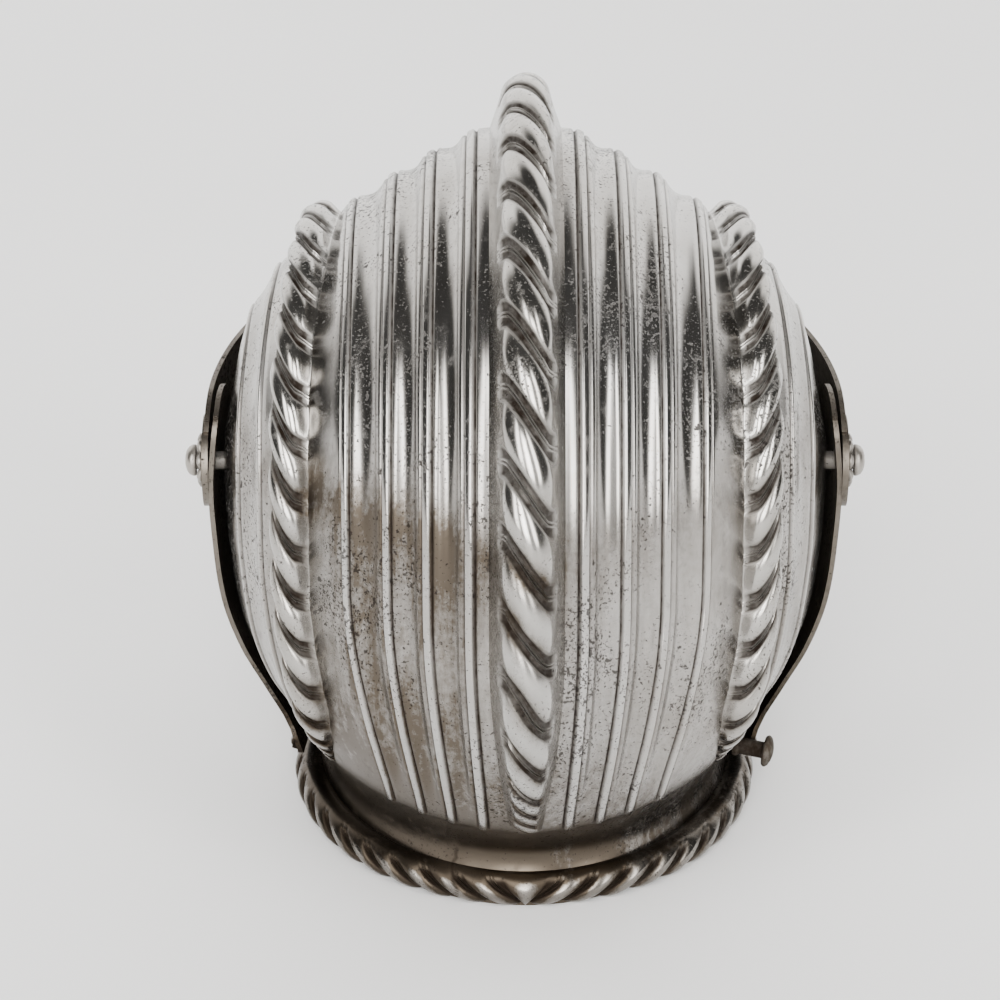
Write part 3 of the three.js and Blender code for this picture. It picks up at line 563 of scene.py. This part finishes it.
combSection = [  # half a comb's section: half widths from the middle, heights above the plate
    {"across": -0.3, "up": 1.01}, {"across": 0, "up": 1.04}, {"across": 0.3, "up": 1.01},
    {"across": 0.55, "up": 0.93}, {"across": 0.8, "up": 0.78}, {"across": 0.94, "up": 0.62},
    {"across": 1.02, "up": 0.44}, {"across": 1.12, "up": 0.26}, {"across": 1.3, "up": 0.05},
    {"across": 1.5, "up": -0.22},
]
combEnds = {"height": 1.2, "width": 0.45}  # mm, and a share of the full width
combPace = {"start": 0.55, "startTo": 0.1, "end": 0.4, "endOver": (0.7, 1.02)}  # shorter end strands
medialComb = {
    "halfWidth": 8.2, "height": 12.6, "strands": 21, "from": 0.1, "to": 1.69, "rise": 0.2, "fall": 0.8,
    "groove": 0.27, "ropeTo": 1.0, "turn": 0, "foot": (0.8, 1.45), "sink": 0, "runOut": 0.96, "lean": -0.42,
}
lateralComb = {
    "halfWidth": 6.2, "height": 7.2, "strands": 20, "from": 0.12, "to": 1.71, "rise": 0.2, "fall": 0.84,
    "groove": 0.36, "ropeTo": 1.3, "turn": 12, "foot": (1.0, 1.5), "sink": 0.2, "runOut": 0.8, "lean": -0.46,
}


def makeComb(name, comb, offset, lean):
    step = 0.004

    def seatsAt(way, shares):
        return skullRow(way, np.arcsin(np.clip(shares, -1, 1)))

    trial = np.linspace(comb["from"], comb["to"], 300)
    line = np.array([seatsAt(way, np.array([offset(way) / skullStation(way)[3]]))[0] for way in trial])
    length = np.concatenate([[0], np.cumsum(np.linalg.norm(np.diff(line, axis=0), axis=1))])
    t = np.linspace(0, 1, 400)
    pace = combPace["start"] + (1 - combPace["start"]) * smooth(0, combPace["startTo"], t)
    pace = pace * (1 - (1 - combPace["end"]) * smooth(*combPace["endOver"], t))
    run = np.concatenate([[0], np.cumsum(pace[1:] + pace[:-1])])
    ways = np.interp(run / run[-1] * length[-1], length, trial)
    full = smooth(0, comb["rise"], t) * smooth(1, comb["fall"], run / run[-1])
    halfWidths = comb["halfWidth"] * (combEnds["width"] + (1 - combEnds["width"]) * full)
    heights = combEnds["height"] + (comb["height"] - combEnds["height"]) * full
    spread = np.concatenate([np.linspace(0, 0.9, 15), np.linspace(0.94, 1.5, 9)])
    ups = fromTable(combSection, "across", "up", spread)
    ropeEdge = comb["ropeTo"] + 0.06
    half = [(a, u, float(smooth(ropeEdge, comb["ropeTo"] - 0.04, a))) for a, u in zip(spread, ups)]
    section = [(-a, u, r) for a, u, r in half[:0:-1]] + half
    inward = -np.sign(offset(1.0))  # the side towards the middle runs straight into the plate
    section = [(a, u - comb["sink"] * float(smooth(0.95, 1.25, a * inward)),
                r * float(smooth(ropeEdge, comb["runOut"], a * inward))) for a, u, r in section]
    across = np.array([row[0] for row in section])
    footing = smooth(*comb["foot"], np.abs(across))[:, None]
    ground, middle, outs = [], [], []
    turn = math.radians(comb["turn"]) * np.sign(offset(1.0))  # lateral ropes face the middle a little
    for way, halfWidth in zip(ways, halfWidths):
        share = offset(way) / skullStation(way)[3]
        before, after = seatsAt(way, np.array([share - step, share + step]))
        reach = np.linalg.norm(after - before) / (2 * step)  # mm for a whole share
        middle.append(seatsAt(way, np.array([share]))[0])
        along = seatsAt(way + step, np.array([share]))[0] - seatsAt(way - step, np.array([share]))[0]
        side, out = unit(after - before), unit(np.cross(after - before, along))
        level = middle[-1] + (side * math.cos(turn) + out * math.sin(turn)) * (across * halfWidth)[:, None]
        ground.append(level + (seatsAt(way, share + across * halfWidth / reach) - level) * footing)
        outs.append(out * math.cos(turn) - side * math.sin(turn))
    rows, marks, wear = ropePoints(
        np.array(ground), np.array(middle), np.array(outs), comb["strands"], lambda t: lean,
        comb["groove"], section, heights, 0.35, comb["ropeTo"])
    count, columns = rows.shape[:2]
    faces = gridFaces(count, columns) + capEnds(count, columns)
    makePiece(name, rows.reshape(-1, 3), faces, "skull", ropeSteel, marks, 70, wear)


rim = {"y": -5, "z": -115.7, "radius": 6, "pitch": 12.4, "groove": 0.32, "lean": 0.58,
       "back": {"halfWidth": 71.6, "reach": 82, "sweep": 100},
       "front": {"halfWidth": 74.8, "reach": 84, "sweep": 84}}


def makeRim(name, heading, size, body):
    sweep = math.radians(size["sweep"])
    turns = np.linspace(-sweep, sweep, 400)
    halfWidth, reach = size["halfWidth"], heading * size["reach"]
    points = np.stack([halfWidth * np.sin(turns), rim["y"] + reach * np.cos(turns),
                       np.full_like(turns, rim["z"])], -1)
    outs = unit(np.stack([np.sin(turns) / halfWidth, np.cos(turns) / reach, 0 * turns], -1))
    sides = np.tile([0.0, 0.0, 1.0], (len(turns), 1))
    section = [(math.sin(a), math.cos(a), float(smooth(0.95, 0.35, math.sin(a))))
               for a in np.radians(np.linspace(-84, 100, 26))]
    section += [(0.8, -0.62, 0.0), (-0.8, -0.62, 0.0)]
    length = sweep * (halfWidth + size["reach"]) * 1.02
    strands = 2 * round(length / rim["pitch"] / 2) + 1
    across = np.array([row[0] for row in section])
    ground = points[:, None, :] + sides[:, None, :] * (across * rim["radius"])[None, :, None]

    def lean(t):  # the strands lean away from the middle on both sides
        return rim["lean"] * max(-1.0, min(1.0, (t - 0.5) * strands * 2))

    rows, marks, wear = ropePoints(ground, points, outs, strands, lean, rim["groove"], section,
                                   np.full(len(turns), rim["radius"]), 0.0)
    rows[..., 2] = np.maximum(rows[..., 2], -pivotHeight)
    marks = np.maximum(marks, crackMarks(rows))
    count, columns = rows.shape[:2]
    faces = gridFaces(count, columns, flip=heading < 0, ringColumns=True) + capEnds(count, columns)
    # the rim in its darker steel of painted shade
    makePiece(name, rows.reshape(-1, 3), faces, body, rimShadeSteel, marks, 70, wear)


makeSkullPlate()
print("skull plate made")
makeComb("comb_medial", medialComb, lambda way: 0.0, medialComb["lean"])
makeComb("comb_left", lateralComb, lateralOffset, lateralComb["lean"])
makeComb("comb_right", lateralComb, lambda way: -lateralOffset(way), -lateralComb["lean"])
makeRim("rim_back", 1, rim["back"], "skull")
makeRim("rim_front", -1, rim["front"], "bevor")
print("ropes made")


# bevor and visor: plates cut to a side view

def cutPrism(name, outline, halfWidth, middle=0):
    points = [(middle + side * halfWidth, y, z) for side in (-1, 1) for y, z in outline]
    return cutterFrom(name, points, len(outline))


def cutterFrom(name, points, count):  # a closed prism between two rings of the same count
    faces = [tuple(range(count)), tuple(range(2 * count - 1, count - 1, -1))]
    faces += [(i, i + count, (i + 1) % count + count, (i + 1) % count) for i in range(count)]
    mesh = bpy.data.meshes.new(name)
    mesh.from_pydata((np.array(points) * mm + pivotAt).tolist(), [], faces)
    markEdges(mesh, 0)
    cutter = bpy.data.objects.new(name, mesh)
    bpy.context.scene.collection.objects.link(cutter)
    tidyNormals(cutter)
    return cutter


def markEdges(mesh, plain):  # faces after the first ones are cut edges or insides, with the darker steel of painted shade
    mesh.materials.append(frontSteel)
    mesh.materials.append(edgeShadeSteel)
    mesh.polygons.foreach_set("material_index", [0] * plain + [1] * (len(mesh.polygons) - plain))


def tidyNormals(target):
    work = bmesh.new()
    work.from_mesh(target.data)
    bmesh.ops.remove_doubles(work, verts=work.verts, dist=1e-6)
    bmesh.ops.recalc_face_normals(work, faces=work.faces)
    work.to_mesh(target.data)
    work.free()


def cutWith(target, cutter, operation):
    modifier = target.modifiers.new("cut", "BOOLEAN")
    modifier.object, modifier.operation, modifier.solver = cutter, operation, "EXACT"
    evaluated = target.evaluated_get(bpy.context.evaluated_depsgraph_get())
    result = bpy.data.meshes.new_from_object(evaluated)
    target.modifiers.clear()
    old = target.data
    target.data = result
    bpy.data.meshes.remove(old)
    bpy.data.objects.remove(cutter)


def arc(centre, radius, start, end, count=14):
    return [(centre[0] + radius * math.cos(math.radians(a)), centre[1] + radius * math.sin(math.radians(a)))
            for a in np.linspace(start, end, count)]


def curve(*corners, count=18):  # Bezier curve of any degree, without its first point
    places = []
    for t in np.linspace(0, 1, count + 1)[1:]:
        work = [np.array(c, float) for c in corners]
        while len(work) > 1:
            work = [a + (b - a) * t for a, b in zip(work, work[1:])]
        places.append(tuple(work[0]))
    return places


bevor = {
    "rear": 10, "overlap": 8, "wall": 1.6, "arm": 25, "top": 30, "bore": 3.4,
    "sections": [
        {"height": 30, "halfWidth": 99.5, "front": 117},
        {"height": 0, "halfWidth": 102.7, "front": 122},
        {"height": -20, "halfWidth": 102.3, "front": 125},
        {"height": -45, "halfWidth": 99.8, "front": 126},
        {"height": -64, "halfWidth": 94.2, "front": 119},
        {"height": -80, "halfWidth": 86.6, "front": 107},
        {"height": -93, "halfWidth": 80.4, "front": 94},
        {"height": -103, "halfWidth": 76.6, "front": 86.5},
        {"height": -110, "halfWidth": 76, "front": 86},
        {"height": -121.5, "halfWidth": 76, "front": 87},
    ],
}
visor = {
    "halfWidth": 104.9, "reach": 132.6, "wall": 1.6, "arm": 15, "eyeInset": 1.15,
    "profile": [
        {"angle": 120, "reach": 132.6}, {"angle": 60, "reach": 132.6}, {"angle": 13, "reach": 132.6},
        {"angle": 8, "reach": 134}, {"angle": 3, "reach": 139}, {"angle": -0.5, "reach": 149},
        {"angle": -3.5, "reach": 143.5}, {"angle": -7, "reach": 152}, {"angle": -10.5, "reach": 145.5},
        {"angle": -14, "reach": 150.5}, {"angle": -17, "reach": 142.5}, {"angle": -20.5, "reach": 138.6},
        {"angle": -45, "reach": 134}, {"angle": -100, "reach": 132.6},
    ],
    "sight": {"x": 37, "angle": 5.6, "length": 58, "height": 6},
    "breaths": {"x": (18, 48), "angles": (-5.4, -12.3), "length": 23, "height": 3},
    "slotDepths": (-85, -180),
}


def bevorGrid(shrink):
    rows = []
    for height in np.linspace(bevor["top"], -pivotHeight, 110):
        halfWidth = float(fromTable(bevor["sections"], "height", "halfWidth", height)) - shrink
        front = float(fromTable(bevor["sections"], "height", "front", height)) - shrink
        turns = np.radians(np.linspace(-90, 90, 121))
        row = np.stack([halfWidth * np.sin(turns), bevor["rear"] - (front + bevor["rear"]) * np.cos(turns),
                        np.full_like(turns, height)], -1)
        ends = [[(side * halfWidth, bevor["rear"] + bevor["overlap"] * f, height) for f in (1, 0.5)]
                for side in (-1, 1)]
        rows.append(np.concatenate([ends[0], row, ends[1][::-1]]))
    return np.array(rows)


def shellPiece(name, outer, inner):
    points, faces = shellPoints(outer, inner)
    mesh = bpy.data.meshes.new(name)
    mesh.from_pydata((points * mm + pivotAt).tolist(), [], faces)
    markEdges(mesh, (outer.shape[0] - 1) * (outer.shape[1] - 1))
    piece = bpy.data.objects.new(name, mesh)
    bpy.context.scene.collection.objects.link(piece)
    tidyNormals(piece)
    return piece


def makeBore():
    return cutPrism("bore", arc((0, 0), bevor["bore"], 0, 360 - 15, 24), 140)


def makeBevor():
    arm = bevor["arm"]
    outline = arc((0, 0), arm, 143, 60) + arc((4, 12), 9.6, 48, 0)
    outline += curve(outline[-1], (13, -50), (5.5, -92)) + arc((1, -101.5), 6.5, 40, -90)
    outline += [(-21, -108), (-21, -130), (-180, -130), (-180, -18), (-110, -18)]
    outline += curve((-110, -18), (-50, -22), (-30, -14), (-arm * 0.8, arm * 0.6))[:-1]
    piece = shellPiece("bevor_plate", bevorGrid(0), bevorGrid(bevor["wall"]))
    cutWith(piece, cutPrism("bevorSide", outline, 130), "INTERSECT")
    cutWith(piece, makeBore(), "DIFFERENCE")
    finishPiece(piece, "bevor", frontSteel, 35)
    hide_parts("bevor")


def visorGrid(shrink):
    angles = [np.linspace(120, 16, 30), np.linspace(15, -22, 90), np.linspace(-23, -100, 24)]
    s = np.linspace(-1, 1, 161)
    turns = np.radians(90 * (1.25 * s - 0.25 * s**3))
    around = np.maximum(np.cos(turns), 0)
    rows = []
    for angle in np.concatenate(angles):
        tilt = math.radians(angle)
        reach = float(fromTable(visor["profile"], "angle", "reach", angle))
        out = (visor["reach"] + (reach - visor["reach"]) * around**1.5 - shrink) * around
        across = (visor["halfWidth"] - shrink) * np.sin(turns)
        rows.append(np.stack([across, -out * math.cos(tilt), out * math.sin(tilt)], -1))
    return np.array(rows)


def makeSlotCutter(x, angle, length, height):
    half = length / 2 - height / 2
    ring = arc((half, 0), height / 2, -90, 90, 9) + arc((-half, 0), height / 2, 90, 270, 9)
    level, slope = math.cos(math.radians(angle)), math.sin(math.radians(angle))
    points = [(x + px, depth * level + pz * slope, pz * level - depth * slope)
              for depth in visor["slotDepths"] for px, pz in ring]
    return cutterFrom("slot", points, len(ring))


def makeVisor():
    arm, sight, breaths = visor["arm"], visor["sight"], visor["breaths"]
    outline = curve((-8, 22), (6, 20), (arm * 0.9, arm * 0.44)) + arc((0, 0), arm, 26, -105)[1:]
    outline += curve(outline[-1], (-28, -22), (-78, -38), (-128, -46))
    outline += [(-190, -46), (-190, 29), (-126, 29)] + curve((-126, 29), (-95, 26), (-45, 24.5), (-8, 22))
    piece = shellPiece("visor_plate", visorGrid(0), visorGrid(visor["wall"]))
    cutWith(piece, cutPrism("visorSide", outline, 130), "INTERSECT")
    for side in (-1, 1):  # a round eye at each pivot
        middle = side * (visor["halfWidth"] - visor["eyeInset"])
        eye = cutPrism("eye", arc((0, 0), arm, 0, 360 - 7.5, 48), 1, middle)
        cutWith(piece, eye, "UNION")
    slots = [(side * sight["x"], sight["angle"], sight["length"], sight["height"]) for side in (-1, 1)]
    slots += [(side * x, angle, breaths["length"], breaths["height"])
              for side in (-1, 1) for x in breaths["x"] for angle in breaths["angles"]]
    for slotShape in slots:
        cutWith(piece, makeSlotCutter(*slotShape), "DIFFERENCE")
    cutWith(piece, makeBore(), "DIFFERENCE")
    finishPiece(piece, "visor", frontSteel, 35)
    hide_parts("visor")


makeBevor()
print("bevor made")
makeVisor()
print("visor made")


# fittings

def lathePoints(profile, segments):  # profile rows are radius and place along X
    points = [(x, r * math.cos(2 * math.pi * k / segments), r * math.sin(2 * math.pi * k / segments))
              for r, x in profile for k in range(segments)]
    faces = gridFaces(len(profile), segments, ringColumns=True)
    return np.array(points), faces + capEnds(len(profile), segments)


bolt = {  # radius and place along the axis
    "inner": [(6.0, 90.7), (6.2, 91.0), (6.2, 92.6), (6.0, 93.0), (3.0, 93.0), (3.0, 107.3)],
    "head": [(5.0, 107.4), (5.2, 107.7), (5.1, 108.6), (4.6, 109.6), (3.4, 110.45), (1.8, 110.9),
             (0.2, 111.0)],
    "darkTo": 107.8,
}
rosette = {"petals": 8, "seat": 105.2, "foot": 106.2, "hole": 3.4, "edge": 7.6, "scallop": 1.2}
lockStud = {
    "at": (-70.1, 12, -99.5), "turn": 14, "tilt": 6, "headFrom": 10.0, "shaftMark": 0.95, "headMark": 0.6,
    "profile": [(3.5, 0.0), (3.64, 0.2), (3.64, 1.4), (3.4, 1.7), (2.8, 2.4), (2.8, 9.9), (4.7, 10.2),
                (5.08, 10.5), (5.35, 11.0), (5.3, 11.5), (4.6, 12.3), (3.24, 12.9), (1.6, 13.3),
                (0.15, 13.4)],
}


def makeBolt(name, side, node):
    points, faces = lathePoints(bolt["inner"] + bolt["head"], 40)
    points = points * (side, side, 1)
    dark = np.where(points[:, 0] * side < bolt["darkTo"], 0.5, 0.0)
    piece = makePiece(name, points, faces, "skull", fittingSteel, dark, 40)
    tidyNormals(piece)
    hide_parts(node)


def makeRosette(name, side, node):
    segments, steps = rosette["petals"] * 16, 12
    points, dark = [], []
    for k in range(segments):
        turn = 2 * math.pi * k / segments
        petal = abs(math.sin(rosette["petals"] * turn / 2))
        rise = petal ** 0.7
        edge = rosette["edge"] + rosette["scallop"] * petal
        seat = rosette["seat"]
        ring = [(rosette["hole"], seat, 0), (edge - 0.2, seat, 0), (edge, seat + 0.3, 0)]
        for s in range(steps + 1):
            f = s / steps
            radius = edge + (rosette["hole"] - edge) * f
            bulge = math.sin(math.pi * min(1, f * 1.25)) if f < 0.8 else 0
            ring.append((radius, rosette["foot"] - 0.45 + 0.3 * petal + 0.9 * rise * bulge + 0.15 * f,
                         (1 - rise) * (0.9 if f < 0.85 else 0.6)))
        for radius, x, mark in ring:
            points.append((side * x, side * radius * math.cos(turn), radius * math.sin(turn)))
            dark.append(mark)
    columns = len(ring)
    faces = []
    for k in range(segments):
        here, there = k * columns, (k + 1) % segments * columns
        for j in range(columns):
            n = (j + 1) % columns
            faces.append((here + j, there + j, there + n, here + n))
    piece = makePiece(name, points, faces, "skull", fittingSteel, dark, 50)
    tidyNormals(piece)
    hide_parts(node)


def makeLockStud():
    points, faces = lathePoints(lockStud["profile"], 36)
    tilt, turn = math.radians(-lockStud["tilt"]), math.pi - math.radians(lockStud["turn"])
    x, y, z = points.T  # turned about Z, then Y, as the solid is
    x, y = x * math.cos(turn) - y * math.sin(turn), x * math.sin(turn) + y * math.cos(turn)
    x, z = x * math.cos(tilt) + z * math.sin(tilt), -x * math.sin(tilt) + z * math.cos(tilt)
    placed = np.stack([x, y, z], -1) + lockStud["at"]
    dark = np.where(points[:, 0] < lockStud["headFrom"], lockStud["shaftMark"], lockStud["headMark"])
    piece = makePiece("neck_stud", placed, faces, "skull", fittingSteel, dark, 40)
    tidyNormals(piece)
    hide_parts("lock_stud")


for sideName, side in (("left", 1), ("right", -1)):
    makeBolt("bolt_" + sideName, side, "pivot_" + sideName)
    makeRosette("washer_" + sideName, side, "rosette_" + sideName)
makeLockStud()
print("fittings made")


# floor, light and camera

def makeFloor():
    size = 6.0
    mesh = bpy.data.meshes.new("studioFloor")
    corners = [(-size, -size, 0), (size, -size, 0), (size, size, 0), (-size, size, 0)]
    mesh.from_pydata(corners, [], [(0, 1, 2, 3)])
    floor = bpy.data.objects.new("studioFloor", mesh)
    bpy.context.scene.collection.objects.link(floor)
    material = bpy.data.materials.new("paleFloor")
    material.use_nodes = True
    tree = material.node_tree
    shader = tree.nodes["Principled BSDF"]
    coords = tree.nodes.new("ShaderNodeTexCoord").outputs["Object"]
    shade = ramp(tree, noise(tree, coords, 3.0, 2.0), [(0.3, 0.86), (0.7, 0.9)])
    tree.links.new(shade, shader.inputs["Base Color"])
    shader.inputs["Roughness"].default_value = 0.7
    mesh.materials.append(material)


def makeLight(name, place, target, size, power):
    light = bpy.data.lights.new(name, "AREA")
    light.shape, light.size, light.size_y, light.energy = "RECTANGLE", size[0], size[1], power
    lamp = bpy.data.objects.new(name, light)
    lamp.location = place
    lamp.rotation_euler = (Vector(target) - Vector(place)).to_track_quat("-Z", "Y").to_euler()
    lamp.visible_glossy = False  # lights the floor; the plates mirror the soft boxes
    bpy.context.scene.collection.objects.link(lamp)


studio = {
    "room": 0.085, "tint": (1.0, 0.985, 0.965), "strength": 1.0,
    "boxes": [  # soft boxes by direction in degrees, headings counted from the viewer's side
        {"heading": 5, "height": 27, "halfWidth": 13, "halfHeight": 23, "soft": 5, "bright": 13.0},
        {"heading": -44, "height": 29, "halfWidth": 9, "halfHeight": 25, "soft": 5, "bright": 9.0},
        {"heading": 44, "height": 29, "halfWidth": 9, "halfHeight": 25, "soft": 5, "bright": 9.0},
        {"heading": 0, "height": 22, "halfWidth": 60, "halfHeight": 24, "soft": 10, "bright": 0.6},
    ],
    "backdrop": {"heading": 180, "height": 8, "halfWidth": 62, "halfHeight": 40, "soft": 12, "bright": 2.5},
}


def makeWorld():
    world = bpy.data.worlds.new("studio")
    world.use_nodes = True
    tree = world.node_tree
    direction = tree.nodes.new("ShaderNodeTexCoord").outputs["Generated"]
    parts = addNode(tree, "ShaderNodeSeparateXYZ", {"Vector": direction})
    heading = math2(tree, "ARCTAN2", parts.outputs["X"], parts.outputs["Y"])
    height = addNode(tree, "ShaderNodeMath", {0: parts.outputs["Z"]}, operation="ARCSINE").outputs[0]

    def edgeMask(value, middle, half, soft):
        away = addNode(tree, "ShaderNodeMath", {0: math2(tree, "SUBTRACT", value, math.radians(middle))},
                       operation="ABSOLUTE").outputs[0]
        node = addNode(tree, "ShaderNodeMapRange", {
            "Value": away, "From Min": math.radians(half + soft), "From Max": math.radians(half - soft)},
            interpolation_type="SMOOTHSTEP")
        return node.outputs["Result"]

    total = None
    for box in studio["boxes"] + [studio["backdrop"]]:
        if box["heading"] == 180:  # behind the helmet the heading is counted from the far side
            farY = math2(tree, "MULTIPLY", parts.outputs["Y"], -1.0)
            farHeading = math2(tree, "ARCTAN2", parts.outputs["X"], farY)
            across = edgeMask(farHeading, 0, box["halfWidth"], box["soft"])
        else:
            across = edgeMask(heading, box["heading"], box["halfWidth"], box["soft"])
        upward = edgeMask(height, box["height"], box["halfHeight"], box["soft"])
        mask = math2(tree, "MULTIPLY", across, upward)
        glow = math2(tree, "MULTIPLY", mask, box["bright"])
        total = glow if total is None else math2(tree, "ADD", total, glow)
    level = math2(tree, "ADD", total, studio["room"])
    backdrop = tree.nodes["Background"]
    tree.links.new(mixColor(tree, 1.0, level, (*studio["tint"], 1), "MULTIPLY"), backdrop.inputs["Color"])
    backdrop.inputs["Strength"].default_value = studio["strength"]
    bpy.context.scene.world = world


photo = {"elevation": 26, "distance": 1.4, "sensor": 36.0,  # degrees, m, mm
         "scale": 3.06, "pivotAt": (525, 460), "size": 1000}  # pixels per mm, then pixels


def makeCamera():
    camera = bpy.data.cameras.new("photoCamera")
    camera.sensor_width = photo["sensor"]
    camera.lens = photo["sensor"] * photo["distance"] / (photo["size"] / photo["scale"] * mm)
    up = math.radians(photo["elevation"])
    toCamera = Vector((0, math.cos(up), math.sin(up)))
    upward = Vector((0, -math.sin(up), math.cos(up)))
    right = Vector((-1, 0, 0))
    middle = photo["size"] / 2
    across, down = photo["pivotAt"]
    offset = (right * (middle - across) + upward * (down - middle)) / photo["scale"] * mm
    target = Vector(pivotAt) + offset
    holder = bpy.data.objects.new("photoCamera", camera)
    holder.location = target + toCamera * photo["distance"]
    holder.rotation_euler = (-toCamera).to_track_quat("-Z", "Y").to_euler()
    bpy.context.scene.collection.objects.link(holder)
    bpy.context.scene.camera = holder


makeFloor()
makeWorld()
makeLight("softTop", (0, 0.2, 2.6), (0, 0, 0), (3.2, 3.2), 60)
makeCamera()
print("studio made")
